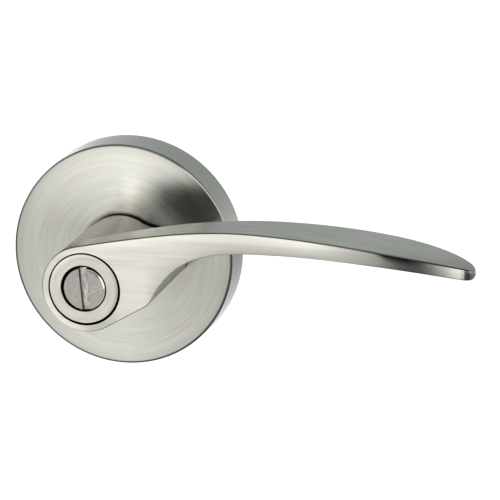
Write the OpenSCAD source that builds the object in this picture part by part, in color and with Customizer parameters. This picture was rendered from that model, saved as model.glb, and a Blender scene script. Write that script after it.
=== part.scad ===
// Privacy lever handle, one side of a door: round rose, spring cage and lever with a coin-turn button.
// Frame: origin where the spindle axis meets the door face, +X to the lever's tip, +Z up, -Y out of the door.
// Every piece is drawn in "out" coordinates: x along the lever, y up, z = height out from the door face.

/* [Rose] */
// Radius of the rose where it meets the door
rose_r = 33.5; // [32:0.5:36]
// Radius of the rose at its front edge
rose_front_r = 33; // [32:0.5:36]
// Height of the rose out from the door
rose_h = 12; // [11.6:0.1:14]
// Thickness of the rose's sheet metal
rose_wall = 1; // [0.8:0.1:1.2]
// Radius of the rounded front edge
rose_edge_r = 1.4; // [1.2:0.2:3]
// Clear gap between the rose's face and the lever's neck
neck_gap = 0.8; // [0.6:0.1:1.2]

/* [Lever] */
// Height of the lever's front face out from the door
lever_h = 49; // [49:0.5:56]
// Radius of the hub and neck
hub_r = 12.3; // [12:0.1:12.4]
// Reach from the spindle axis to the lever's tip
lever_reach = 107.8; // [100:0.1:116]
// Height of the arm's crest above the spindle axis
crest_h = 18.5; // [17:0.1:20]
// How far the front face has swept back at the tip
front_sweep = 3.7; // [0:0.1:5]
// Depth of the arm from front face to back edge where it is widest
arm_depth = 21.9; // [16:0.1:22]
// Lever travel each way from level, in degrees
lever_travel = 50; // [30:1:55]

/* [Button] */
// Radius of the hole through the trim ring
ring_hole_r = 6.45; // [6.2:0.05:7]
// Radius of the trim ring
ring_r = 10; // [9.5:0.1:10]
// Radius of the coin-turn button
button_r = 5.95; // [5.6:0.05:6]
// Width of the coin slot
slot_w = 2.2; // [1.2:0.05:2.6]
// Depth of the coin slot
slot_depth = 1.2; // [1:0.1:2.2]
// Lean of the slot from upright, in degrees
slot_lean = 5; // [0:1:10]

/* [Door fixing] */
// Distance between the two mounting posts
post_spacing = 38; // [38:0.5:42]
// Length of the mounting posts into the door
post_length = 26; // [20:1:32]
// Radius of a mounting post
post_r = 3.6; // [3.2:0.1:3.8]
// Radius of the threaded hole in a post
post_thread_r = 1.7; // [1.5:0.1:2.2]
// Length of the spindle into the door
spindle_length = 42; // [36:1:60]
// Width across the flats of the square spindle
spindle_w = 7.6; // [7:0.1:7.6]

/* [Hidden] */
$fn = 96;
e = 0.1;                               // overshoot of a cutting solid

// Stack of the mechanism, as heights out from the door face
plate_t = 2;                           // mounting plate, front face
cam_z = plate_t + 0.4;                 // drive cam, back face
cam_t = 1.4;                           // thickness of the cam's plate
cam_hub_top = 7;                       // top of the cam's hub, inside the spring
cage_top = rose_h - 2.4;               // front of the spring cage
cage_wall = 1;
neck_back = rose_h + neck_gap;         // back end of the visible neck, just clear of the rose
journal_r = 9.5;                       // part of the lever that runs in the bushing
journal_back = 7.4;
fit = 0.05;                            // radial clearance of a running fit
sleeve_r = 8;
sleeve_bore_r = 5.6;
sleeve_front = 35.8;
sleeve_back = -4.5;
sleeve_flat = 7;                       // half distance between the sleeve's two flats
web_t = 3.9;                           // wall between the sleeve's bore and the button's recess
recess_floor = lever_h - 4.2;          // floor of the trim ring's recess
stem_r = 3.4;
stem_back = recess_floor - 8.6;
clip_z = recess_floor - web_t - 1.1;   // groove for the button's clip
clip_t = 0.7;
bar_w = 4.2;
bar_t = 1.5;
bar_front = stem_back + 2.6;
set_screw_z = 17;
set_screw_r = 2.5;
spring_r = 11;                         // mean radius of the return spring's coil
wire_r = 0.5;
finger_half = 12;                      // half angle of the cam's finger and the cage's rib
leg_half = finger_half + 3.5;          // angle of a spring leg from the top
lug_half = 13;                         // half angle of the cam's stop lug
pin_r = 1.2;
pin_circle_r = 11.6;
pin_half = lug_half + lever_travel + asin(pin_r / pin_circle_r) + 2;
post_neck_r = post_r - 0.6;            // staked neck of a post, in the plate
ear_y = 17.5;                          // height of a cage screw above or below the axis
screw_r = 1.5;
clip_foot_r = 27.5;                    // radius at which a rose clip is riveted
clip_angles = [30, 150, 270];
rivet_r = 1.2;
plate_r = rose_front_r - rose_wall - 0.8;

module out() rotate([90, 0, 0]) children();

module disc(r, z0, z1) translate([0, 0, z0]) cylinder(r = r, h = z1 - z0);

module tube(r_out, r_in, z0, z1) difference() {
    disc(r_out, z0, z1);
    disc(r_in, z0 - e, z1 + e);
}

// Part of a ring, centred on +y, from r_in to r_out and half_angle to each side
module sector(r_in, r_out, half_angle, z0, z1) intersection() {
    tube(r_out, r_in, z0, z1);
    translate([0, 0, z0 - e]) linear_extrude(z1 - z0 + 2 * e) polygon([
        [0, 0],
        [-2 * r_out * tan(half_angle), 2 * r_out],
        [2 * r_out * tan(half_angle), 2 * r_out]
    ]);
}

function bezier(p, t) =
    pow(1 - t, 3) * p[0] + 3 * t * pow(1 - t, 2) * p[1] + 3 * t * t * (1 - t) * p[2] + pow(t, 3) * p[3];
// Points along a cubic curve, its last point left for the next curve to start from
function curve(p, n) = [for (i = [0:n - 1]) bezier(p, i / n)];
function arc(c, r, a0, a1, n) = [for (i = [0:n]) c + r * [cos(a0 + (a1 - a0) * i / n), sin(a0 + (a1 - a0) * i / n)]];

// The lever seen from the front: hub circle, crest curve to the tip, underside and web back to the hub
tip_x = lever_reach - 3.2;
top_a = [[-2.7, hub_r - 0.3], [12.4, 15.1], [28.5, crest_h], [43.5, crest_h]];
top_b = [[43.5, crest_h], [62, crest_h], [84, 15], [tip_x, 11.5]];
tip_top = [[tip_x, 11.5], [lever_reach - 0.6, 11.1], [lever_reach, 10.9], [lever_reach, 9.9]];
tip_bottom = [[lever_reach, 9.9], [lever_reach, 8.3], [lever_reach - 0.8, 8.1], [tip_x - 0.1, 8.3]];
under_a = [[tip_x - 0.1, 8.3], [92, 9.9], [70, 12.85], [53, 12.85]];
under_b = [[53, 12.85], [36, 12.85], [26.5, 11.8], [19.4, -1.4]];
heel = [[19.4, -1.4], [18.9, -2.9], [18.2, -3.6], [16.6, -4.5]];
function front_outline() = concat(
    curve(top_a, 16), curve(top_b, 20), curve(tip_top, 6), curve(tip_bottom, 6), curve(under_a, 16), curve(under_b, 18),
    curve(heel, 6), arc([0, 0], hub_r, -61, -257, 49)
);

// Section of the neck: the hub circle, a hollow flare along the top to a rounded fin, and the same heel
fin_t = 0.87;                          // where on the underside curve the fin starts
fin_root = bezier(under_b, fin_t);
flare = [hub_r * [cos(59), sin(59)], [8.1, 9.3], [13, 8.7], [20, 8]];
fin = [[20, 8], [23, 7.7], fin_root + [1.4, 2.2], fin_root];
function neck_outline() = concat(
    arc([0, 0], hub_r, -61, -301, 60), [for (i = [1:8]) bezier(flare, i / 8)], [for (i = [1:8]) bezier(fin, i / 8)],
    [for (i = [1:5]) bezier(under_b, fin_t + (1 - fin_t) * i / 6)], curve(heel, 6)
);

// The lever seen from above: x and height out from the door
back_h = lever_h - arm_depth;
front_curve = [[50, lever_h], [68, lever_h], [86, lever_h - front_sweep / 2], [tip_x, lever_h - front_sweep]];
corner = [[tip_x, lever_h - front_sweep], [lever_reach - 1.4, lever_h - front_sweep - 0.2],
          [lever_reach, lever_h - front_sweep - 1], [lever_reach, lever_h - front_sweep - 3]];
back_a = [[lever_reach, lever_h - front_sweep - 3], [106.5, 36], [99, back_h + 0.5], [84, back_h]];
back_b = [[84, back_h], [70, back_h - 0.2], [52, 31.9], [36, 35.3]];
function plan_outline() = concat(
    [[-hub_r - 1, lever_h], [-hub_r - 1, 43.5], [17, 37.6]],
    [for (i = [20:-1:1]) bezier(back_b, i / 20)], [for (i = [16:-1:1]) bezier(back_a, i / 16)],
    [for (i = [5:-1:1]) bezier(corner, i / 5)], [for (i = [12:-1:0]) bezier(front_curve, i / 12)]
);

module arm() intersection() {
    translate([0, 0, back_h - e]) linear_extrude(arm_depth + 2 * e) polygon(front_outline());
    rotate([90, 0, 0]) translate([0, 0, -crest_h - e]) linear_extrude(crest_h + hub_r + 2 * e)
        polygon(plan_outline());
}

module neck() translate([0, 0, neck_back]) linear_extrude(lever_h - neck_back) polygon(neck_outline());

module lever() color("silver") out() difference() {
    union() {
        arm();
        neck();
        disc(journal_r, journal_back, neck_back + e);
    }
    disc(sleeve_r + 0.02, journal_back - e, recess_floor - web_t);
    disc(stem_r + fit, recess_floor - web_t - e, recess_floor + e);
    disc(ring_r + 0.15, recess_floor, lever_h + e);
    translate([0, 0, set_screw_z]) rotate([90, 0, 0]) disc(set_screw_r, sleeve_r - 1, hub_r + 1);
}

module trim_ring() color("gainsboro") out() rotate_extrude() polygon([
    [ring_hole_r, recess_floor], [ring_r + 0.12, recess_floor], [ring_r + 0.12, recess_floor + 1.4],
    [ring_r, recess_floor + 1.4], [ring_r, lever_h - 0.2], [ring_r - 0.2, lever_h],
    [ring_hole_r + 0.25, lever_h], [ring_hole_r, lever_h - 0.25]
]);

module turn_button() color("darkgray") out() rotate([0, 0, slot_lean]) difference() {
    rotate_extrude() polygon([
        [0, stem_back], [stem_r - 0.3, stem_back], [stem_r, stem_back + 0.3], [stem_r, clip_z],
        [stem_r - 0.7, clip_z], [stem_r - 0.7, clip_z + clip_t + 0.1], [stem_r, clip_z + clip_t + 0.1],
        [stem_r, recess_floor + 0.35], [button_r, recess_floor + 0.35], [button_r, lever_h - 0.35],
        [button_r - 0.35, lever_h], [0, lever_h]
    ]);
    translate([-slot_w / 2, -button_r - 1, lever_h - slot_depth])
        cube([slot_w, 2 * button_r + 2, slot_depth + e]);
    translate([-bar_t / 2 - fit, -bar_w / 2 - fit, stem_back - e])
        cube([bar_t + 2 * fit, bar_w + 2 * fit, bar_front - stem_back + 2 * e]);
}

module button_washer() color("silver") out() tube(button_r - 0.5, stem_r + 0.2, recess_floor, recess_floor + 0.3);

// Open retaining clip: a ring with a gap of the given width
module open_ring(r_out, r_in, gap, z0, z1) difference() {
    tube(r_out, r_in, z0, z1);
    translate([-gap / 2, 0, z0 - e]) cube([gap, r_out + 1, z1 - z0 + 2 * e]);
}

module button_clip() color("dimgray") out()
    open_ring(stem_r + 1.4, stem_r - 0.67, 2 * stem_r - 2, clip_z + 0.05, clip_z + 0.05 + clip_t);

module turn_bar() color("slategray") out() rotate([0, 0, slot_lean])
    translate([-bar_t / 2, -bar_w / 2, -spindle_length - 4])
        cube([bar_t, bar_w, bar_front + spindle_length + 4]);

module lever_set_screw() color("dimgray") out() translate([0, 0, set_screw_z]) rotate([90, 0, 0]) difference() {
    union() {
        disc(set_screw_r - 0.02, sleeve_r + 0.05, hub_r - 0.8);
        disc(1.2, sleeve_r - 0.7, sleeve_r + 0.1);
    }
    translate([0, 0, hub_r - 2.8]) cylinder(r = 1.4, h = 3, $fn = 6);
}

module drive_sleeve() color("darkgray") out() difference() {
    disc(sleeve_r, sleeve_back, sleeve_front);
    disc(sleeve_bore_r, 6, sleeve_front + e);
    translate([-spindle_w / 2 - fit, -spindle_w / 2 - fit, sleeve_back - e])
        cube([spindle_w + 2 * fit, spindle_w + 2 * fit, 6 - sleeve_back + 2 * e]);
    tube(sleeve_r + 1, sleeve_r - 0.7, -2.9, -1.9);
    for (side = [-1, 1]) translate([-sleeve_r - 1, side * (sleeve_flat + 2) - 2, cam_z - 0.1])
        cube([2 * sleeve_r + 2, 4, journal_back - cam_z + 0.1]);
    translate([0, 0, set_screw_z]) rotate([90, 0, 0]) disc(1.25, sleeve_r - 0.8, sleeve_r + 1);
}

module spindle() color("darkgray") out() difference() {
    translate([-spindle_w / 2, -spindle_w / 2, -spindle_length])
        cube([spindle_w, spindle_w, spindle_length + 5.8]);
    disc(2.6, -spindle_length - e, 6);
}

module drive_cam() color("tan") out() difference() {
    union() {
        disc(9.3, cam_z, cam_z + cam_t);
        disc(10.1, cam_z + cam_t - e, cam_hub_top);
        sector(9, 12.6, finger_half, cam_z, cam_z + cam_t);
        sector(11.9, 12.6, finger_half, cam_z, cage_top - 1.3);
        rotate([0, 0, 180]) sector(9, 12.9, lug_half, cam_z, cam_z + cam_t);
    }
    intersection() {
        disc(sleeve_r + 0.02, cam_z - e, cam_hub_top + e);
        translate([-sleeve_r - 1, -sleeve_flat - 0.02, cam_z - e])
            cube([2 * sleeve_r + 2, 2 * sleeve_flat + 0.04, cam_hub_top]);
    }
}

// Torsion spring: a helix of three turns with a straight leg outwards at each end
spring_z0 = cam_z + cam_t + 0.8;
spring_z1 = cage_top - cage_wall - 0.75;
helix_steps = 70;
helix_sweep = 3 * 360 - 2 * leg_half;
function polar(r, a, z) = [r * cos(a), r * sin(a), z];
function wire_path() = concat(
    [polar(spring_r + 2.2, 90 + leg_half, spring_z0)],
    [for (i = [0:helix_steps]) polar(spring_r, 90 + leg_half + helix_sweep * i / helix_steps,
        spring_z0 + (spring_z1 - spring_z0) * i / helix_steps)],
    [polar(spring_r + 2.2, 90 - leg_half, spring_z1)]
);
function unit(v) = v / norm(v);
// Closed tube of radius r swept along a path, with sides flat faces round it
module swept_tube(path, r, sides) {
    last = len(path) - 1;
    rings = [for (i = [0:last]) let (
        along = unit(path[min(i + 1, last)] - path[max(i - 1, 0)]),
        side = unit(cross(along, [0, 0, 1])),
        up = cross(side, along)
    ) for (k = [0:sides - 1]) path[i] + r * (cos(360 * k / sides) * side + sin(360 * k / sides) * up)];
    walls = [for (i = [0:last - 1]) for (k = [0:sides - 1]) let (n = (k + 1) % sides)
        [i * sides + k, (i + 1) * sides + k, (i + 1) * sides + n, i * sides + n]];
    polyhedron(rings, concat(walls, [[for (k = [0:sides - 1]) k]], [[for (k = [sides - 1:-1:0]) last * sides + k]]));
}

module return_spring() color("steelblue") out() swept_tube(wire_path(), wire_r, 8);

module spring_cage() color("khaki") out() difference() {
    union() {
        disc(14.6, plate_t, cage_top);
        for (side = [-1, 1]) {
            translate([0, side * ear_y, 0]) disc(2.9, plate_t, plate_t + 0.9);
            translate([-2.9, side > 0 ? 12 : -ear_y, plate_t]) cube([5.8, ear_y - 12, 0.9]);
        }
    }
    difference() {
        disc(13.6, plate_t - e, cage_top - cage_wall);
        sector(12.9, 15, finger_half, plate_t - 2 * e, cage_top);
    }
    disc(10.9, cage_top - cage_wall - e, cage_top + e);
    for (side = [-1, 1]) translate([0, side * ear_y, 0]) disc(screw_r + 0.1, plate_t - e, plate_t + 1);
}

module cage_screws() color("goldenrod") out() for (side = [-1, 1]) translate([0, side * ear_y, 0]) difference() {
    union() {
        disc(screw_r, 0.1, plate_t + 1);
        disc(2.6, plate_t + 0.9, plate_t + 2.5);
    }
    for (turn = [0, 90]) rotate([0, 0, turn]) translate([-1.6, -0.25, plate_t + 1.5]) cube([3.2, 0.5, 2]);
}

module at_stop_pins() for (side = [-1, 1]) rotate([0, 0, side * pin_half]) translate([0, -pin_circle_r, 0]) children();

module stop_pins() color("gray") out() at_stop_pins() disc(pin_r, 0, cam_z + cam_t + 0.1);

module neck_bushing() color("ivory") out() difference() {
    union() {
        disc(10.88, cage_top - cage_wall, cage_top);
        disc(11.9, cage_top, cage_top + 0.7);
    }
    disc(journal_r + fit, cage_top - cage_wall - e, cage_top + 0.7 + e);
}

module thrust_washer() color("ivory") out() tube(10, sleeve_r + 0.2, plate_t, cam_z - 0.02);

// Conical spring washer behind the plate, which takes up the end play
module spring_washer() color("steelblue") out() rotate_extrude() polygon([
    [sleeve_r + 0.2, -1.85], [sleeve_r + 3.2, -0.55], [sleeve_r + 3.2, 0], [sleeve_r + 0.2, -1.3]
]);

module retaining_ring() color("dimgray") out() open_ring(sleeve_r + 1.6, sleeve_r - 0.66, 5, -2.85, -2);

module mounting_plate() color("lightslategray") out() difference() {
    disc(plate_r, 0, plate_t);
    disc(sleeve_r + fit, -e, plate_t + e);
    for (side = [-1, 1]) {
        translate([side * post_spacing / 2, 0, 0]) disc(post_neck_r + 0.02, -e, plate_t + e);
        translate([0, side * ear_y, 0]) disc(screw_r, -e, plate_t + e);
    }
    at_stop_pins() disc(pin_r, -e, plate_t + e);
    for (a = clip_angles) rotate([0, 0, a]) translate([clip_foot_r, 0, 0]) disc(rivet_r, -e, plate_t + e);
}

module mounting_posts() color("darkgray") out() for (side = [-1, 1]) translate([side * post_spacing / 2, 0, 0])
    difference() {
        union() {
            disc(post_r, -post_length, 0);
            disc(post_neck_r, -e, plate_t + e);
            disc(post_r + 0.3, plate_t, plate_t + 0.8);
        }
        disc(post_thread_r, -post_length - e, plate_t / 2);
    }

module rose_clips() color("steelblue") out() for (a = clip_angles) rotate([0, 0, a]) difference() {
    union() {
        translate([clip_foot_r - 3, -3, plate_t]) cube([plate_r - clip_foot_r + 2.6, 6, 0.6]);
        translate([plate_r - 1, -3, plate_t]) cube([0.6, 6, 5.5]);
        translate([plate_r - 0.5, -3, 5.8]) rotate([-90, 0, 0]) cylinder(r = 0.9, h = 6);
    }
    translate([clip_foot_r, 0, 0]) disc(rivet_r + 0.05, plate_t - e, plate_t + 1);
}

module clip_rivets() color("gray") out() for (a = clip_angles) rotate([0, 0, a]) translate([clip_foot_r, 0, 0]) {
    disc(rivet_r, 0, plate_t + 0.7);
    disc(2, plate_t + 0.6, plate_t + 1.3);
}

// Spun cover shell: conical side wall, rounded edge and a faintly dished face
rose_hole_r = journal_r + 0.8;
dish = 0.4;
edge_c = [rose_front_r - rose_edge_r, rose_h - rose_edge_r];
module rose() color("silver") out() rotate_extrude($fn = 128) polygon(concat(
    [[rose_r, 0]], arc(edge_c, rose_edge_r, 0, 90, 12),
    [[24, rose_h - 0.6 * dish], [16, rose_h - dish], [rose_hole_r, rose_h - dish],
     [rose_hole_r, rose_h - rose_wall - dish], [16, rose_h - rose_wall - dish],
     [24, rose_h - rose_wall - 0.6 * dish]],
    arc(edge_c, rose_edge_r - rose_wall, 90, 0, 8), [[rose_r - rose_wall, 0]]
));

rose();
lever();
trim_ring();
turn_button();
button_washer();
button_clip();
turn_bar();
lever_set_screw();
drive_sleeve();
spindle();
drive_cam();
return_spring();
spring_cage();
cage_screws();
stop_pins();
neck_bushing();
thrust_washer();
spring_washer();
retaining_ring();
mounting_plate();
mounting_posts();
rose_clips();
clip_rivets();
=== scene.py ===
"""Privacy lever handle: its visible pieces, finishes and stage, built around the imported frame.

Heights called t are measured out from the door face, so a point (x, y, t) of a drawing
stands at (x, -t, y) in the frame: +X to the lever's tip, +Z up and -Y out of the door.
Drawings are in millimetres, and meshes are in metres.
"""

import bmesh
import bpy
import numpy as np
from bpy.props import FloatProperty, FloatVectorProperty, PointerProperty
from mathutils import Matrix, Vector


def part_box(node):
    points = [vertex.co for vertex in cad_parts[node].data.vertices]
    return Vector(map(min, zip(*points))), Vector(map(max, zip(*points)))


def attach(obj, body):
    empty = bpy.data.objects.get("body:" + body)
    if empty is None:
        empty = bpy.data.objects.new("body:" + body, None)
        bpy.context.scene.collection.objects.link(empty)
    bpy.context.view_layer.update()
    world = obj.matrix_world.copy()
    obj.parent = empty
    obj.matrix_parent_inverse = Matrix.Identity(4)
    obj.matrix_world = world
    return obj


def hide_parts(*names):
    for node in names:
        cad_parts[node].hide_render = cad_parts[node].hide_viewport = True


bl_info = {
    "name": "Door lever handle",
    "version": (1, 0, 0),
    "blender": (4, 5, 0),
    "location": "View3D > Sidebar > Handle",
    "description": "Builds a satin nickel privacy lever on its round rose",
    "category": "Add Mesh",
}

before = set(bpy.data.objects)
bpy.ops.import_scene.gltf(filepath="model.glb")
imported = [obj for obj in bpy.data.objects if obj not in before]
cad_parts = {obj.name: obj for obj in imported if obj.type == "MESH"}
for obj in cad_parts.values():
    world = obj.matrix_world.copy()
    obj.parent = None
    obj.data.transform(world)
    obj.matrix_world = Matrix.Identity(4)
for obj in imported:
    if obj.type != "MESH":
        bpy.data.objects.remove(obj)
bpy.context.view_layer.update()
MM = 0.001
HUB_R = 12.3
ROSE_LOW, ROSE_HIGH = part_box("rose")
LEVER_LOW, LEVER_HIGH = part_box("lever")
FACE_T = -LEVER_LOW.y / MM          # hub's front face
REACH = LEVER_HIGH.x / MM
NECK_BACK = -ROSE_LOW.y / MM + 0.8  # the neck stops just clear of the rose
RECESS_T = FACE_T - 4.2

# ---------------------------------------------------------------- the lever's drawing

TIP_X = REACH - 3.2
TOP_A = [[-2.7, 12], [12.4, 15.1], [28.5, 18.5], [43.5, 18.5]]
TOP_B = [[43.5, 18.5], [62, 18.5], [84, 15], [TIP_X, 11.5]]
TIP_TOP = [[TIP_X, 11.5], [REACH - 0.6, 11.1], [REACH, 10.9], [REACH, 9.9]]
TIP_BOTTOM = [[REACH, 9.9], [REACH, 8.3], [REACH - 0.8, 8.1], [TIP_X - 0.1, 8.3]]
UNDER_A = [[TIP_X - 0.1, 8.3], [92, 9.9], [70, 12.85], [53, 12.85]]
UNDER_B = [[53, 12.85], [36, 12.85], [26.5, 11.8], [19.4, -1.4]]
HEEL = [[19.4, -1.4], [18.9, -2.9], [18.2, -3.6], [16.6, -4.5]]
FIN_SPLIT = 0.87                    # where on the underside curve the neck's fin starts
FRONT_SWEEP = 3.7
FRONT = [[50, FACE_T], [68, FACE_T], [86, FACE_T - FRONT_SWEEP / 2], [TIP_X, FACE_T - FRONT_SWEEP]]
CORNER = [
    [TIP_X, FACE_T - FRONT_SWEEP], [REACH - 1.4, FACE_T - FRONT_SWEEP - 0.2],
    [REACH, FACE_T - FRONT_SWEEP - 1], [REACH, FACE_T - FRONT_SWEEP - 3],
]
BACK_T = 27.1                       # the arm's back, where the arm is deepest
BACK_A = [[REACH, FACE_T - FRONT_SWEEP - 3], [106.5, 36], [99, BACK_T + 0.5], [84, BACK_T]]
BACK_B = [[84, BACK_T], [70, BACK_T - 0.2], [52, 31.9], [36, 35.3]]
BEHIND_HUB = [[-HUB_R - 1, 43.5], [17, 37.6]]
CREST_X = [30, 60, 76, 84, 92, 105]             # along the crest, the front edge softens and firms up again
CREST_ROUND = [0.45, 0.45, 0.55, 0.7, 0.55, 0.45]

# The rest of the lever's solid, behind and inside what its drawing shows
JOURNAL_R, JOURNAL_BACK = 9.5, 7.4              # what runs in the rose's bushing
SLEEVE_BORE_R, STEM_BORE_R = 8.02, 3.45
WEB_T = 3.9                                     # wall between the sleeve's bore and the ring's recess
RECESS_R = 10.36
SCREW_R, SCREW_T = 2.5, 17                      # set screw's hole, from below
SLOT_LEAN = 5                                   # degrees off upright

# Painted light and shade: the lever's gain along x, as (x, gain), and the share of it lost by the underside
HEADROOM = 1.3                      # tints are held this much brighter, so that shading can lift them too
FRONT_SHADE = [
    (30, 1), (42, 0.98), (55, 1.02), (62, 1.05), (68, 0.96), (73, 0.79), (78, 0.63), (83, 0.43), (88, 0.21),
    (91, 0.2), (93.5, 0.27), (96, 0.48), (98.5, 0.74), (101, 0.92), (103.7, 1.18), (104.6, 0.85),
    (105.2, 0.72), (106.4, 0.22), (107.2, 0.8), (REACH, 0.9),
]
FRONT_FALL_SHADE = [(17, 0), (21, 0.3), (30, 0.3), (44, 0.42), (62, 0.48), (78, 0.34), (REACH, 0.36)]
TOP_SHADE = [
    (-4, 0.6), (8, 0.54), (14, 0.44), (20, 0.43), (26, 0.53), (32, 0.72), (38, 0.83), (44, 0.91),
    (52, 0.98), (62, 1.03), (72, 1.07), (84, 1.07), (98, 1.0), (104, 0.9), (REACH, 0.8),
]


def bezier(points, t):
    """Cubic curve: the four points weighted by (1-t)^3, 3t(1-t)^2, 3t^2(1-t) and t^3."""
    t = np.asarray(t, float)[..., None]
    p = np.asarray(points, float)
    return (1 - t) ** 3 * p[0] + 3 * t * (1 - t) ** 2 * p[1] + 3 * t * t * (1 - t) * p[2] + t ** 3 * p[3]


def curve(points, n=200, reverse=False):
    """n points evenly in t along a cubic curve, either way round."""
    line = bezier(points, np.linspace(0, 1, n))
    return line[::-1] if reverse else line


def circle(radius, start, end, n):
    """n points of a circle round the axis: radius times (cos a, sin a), a from start to end degrees."""
    a = np.radians(np.linspace(start, end, n))
    return radius * np.stack([np.cos(a), np.sin(a)], -1)


def lever_outline():
    """Stations along x with the y of the top and the underside there, both read off their joined curves."""
    top = np.concatenate([circle(HUB_R, 180, 103, 160), curve(TOP_A), curve(TOP_B), curve(TIP_TOP)])
    under = np.concatenate([
        circle(HUB_R, 180, 299, 240), curve(HEEL, reverse=True), curve(UNDER_B, reverse=True),
        curve(UNDER_A, reverse=True), curve(TIP_BOTTOM, reverse=True),
    ])
    x = np.concatenate([
        -HUB_R * np.cos(np.radians(np.arange(0, 90, 3))), np.arange(0, 15.9, 0.9), np.arange(16, 20.4, 0.3),
        np.arange(20.8, 50, 0.8), np.arange(50, TIP_X, 1.3),
        TIP_X + 3.2 * np.sin(np.radians(np.linspace(3, 90, 22))),
    ])
    return x, np.interp(x, top[:, 0], top[:, 1]), np.interp(x, under[:, 0], under[:, 1])


def front_height(x):
    """Height of the front face at x: flat over the hub, then the sweep back, then the rounded corner."""
    line = np.concatenate([[[-20, FACE_T]], curve(FRONT), curve(CORNER)])
    return np.interp(x, line[:, 0], line[:, 1])


def back_height(x):
    """Height of the arm's back at x: straight behind the hub, then the deepening curve to the tip."""
    line = np.concatenate([BEHIND_HUB, curve(BACK_B, reverse=True), curve(BACK_A, reverse=True)])
    return np.interp(x, line[:, 0], line[:, 1])


def neck_outline():
    """Section of the neck: the hub circle, the flare out along the top to the fin, and the heel."""
    root = bezier(UNDER_B, FIN_SPLIT)
    start = circle(HUB_R, 59, 59, 1)[0]
    flare = [start, [8.1, 9.3], [13, 8.7], [20, 8]]
    fin = [[20, 8], [23, 7.7], root + [1.4, 2.2], root]
    steps = np.linspace(0, 1, 17)[1:]
    return np.concatenate([
        circle(HUB_R, -61, -301, 120), bezier(flare, steps), bezier(fin, steps),
        bezier(UNDER_B, np.linspace(FIN_SPLIT, 1, 9)[1:]), bezier(HEEL, np.linspace(0, 1, 13)[1:]),
    ])


# ---------------------------------------------------------------- surfaces

def placed(drawing):
    """Drawing points (x, y, t) in millimetres to frame points (x, -t, y) in metres."""
    p = np.asarray(drawing, float)
    return np.stack([p[..., 0], -p[..., 2], p[..., 1]], -1) * MM


def grid_faces(rows, cols, wrap_rows=False):
    """Corner numbers of the quads of a grid of points, closed along its columns and optionally its rows."""
    i = np.arange(rows if wrap_rows else rows - 1)[:, None]
    k = np.arange(cols)[None, :]
    below, beside = (i + 1) % rows, (k + 1) % cols
    corners = [i * cols + k, i * cols + beside, below * cols + beside, below * cols + k]
    return np.stack(corners, -1).reshape(-1, 4)


def make_mesh(name, points, faces, flat_faces=()):
    """Mesh object from arrays, with doubles merged, slivers dissolved and faces turned outwards."""
    mesh = bpy.data.meshes.new(name)
    mesh.from_pydata(points.reshape(-1, 3).tolist(), [], faces.tolist() + [list(f) for f in flat_faces])
    work = bmesh.new()
    work.from_mesh(mesh)
    bmesh.ops.remove_doubles(work, verts=work.verts, dist=1e-7)
    bmesh.ops.dissolve_degenerate(work, edges=work.edges, dist=1e-8)
    bmesh.ops.recalc_face_normals(work, faces=work.faces)
    work.to_mesh(mesh)
    work.free()
    made = bpy.data.objects.new(name, mesh)
    bpy.context.scene.collection.objects.link(made)
    return made


def revolved(name, profile, segments=192, closed=True, centres=((0, 0),)):
    """Profile points (r, t) carried round the spindle axis: x = r cos a, y = r sin a, and t as it is. Each
    point's circle may have a centre (x, y) of its own, which is added."""
    r, t = np.asarray(profile, float).T
    a = np.linspace(0, 2 * np.pi, segments, endpoint=False)
    height = np.repeat(t[:, None], segments, 1)
    points = np.stack([np.outer(r, np.cos(a)), np.outer(r, np.sin(a)), height], -1)
    points[..., :2] += np.asarray(centres, float)[:, None]
    return make_mesh(name, placed(points), grid_faces(len(r), segments, wrap_rows=closed))


def quarter(centre, radius, start, end, n=6):
    """n points of a rounded corner: centre plus radius times (cos a, sin a)."""
    return np.asarray(centre, float) + circle(radius, start, end, n)


def inward(outline):
    """Unit vectors into a closed outline: the tangent between neighbours turned a quarter turn."""
    tangent = np.roll(outline, -1, 0) - np.roll(outline, 1, 0)
    tangent /= np.linalg.norm(tangent, axis=1, keepdims=True)
    x, y = outline.T
    turn = np.sign(np.sum(x * np.roll(y, -1) - np.roll(x, -1) * y))
    return turn * np.stack([-tangent[:, 1], tangent[:, 0]], -1)


def slab(name, outline, low, high, low_round, high_round, steps=5):
    """Outline carried from low to high: near each end it is inset by r(1 - cos a) while the height
    comes r(1 - sin a) short, which rounds that end's edge with radius r."""
    a = np.radians(np.linspace(90, 0, steps))
    ends = [(low_round * (1 - np.cos(a)), low + low_round * (1 - np.sin(a)))]
    ends.append((high_round * (1 - np.cos(a[::-1])), high - high_round * (1 - np.sin(a[::-1]))))
    inset, height = np.concatenate(ends, axis=1)
    flat = outline[None] + inset[:, None, None] * inward(outline)[None]
    points = np.concatenate([flat, np.broadcast_to(height[:, None, None], flat.shape[:2] + (1,))], -1)
    rows, cols = points.shape[:2]
    caps = [range(cols), range((rows - 1) * cols, rows * cols)]
    return make_mesh(name, placed(points), grid_faces(rows, cols), caps)


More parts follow.
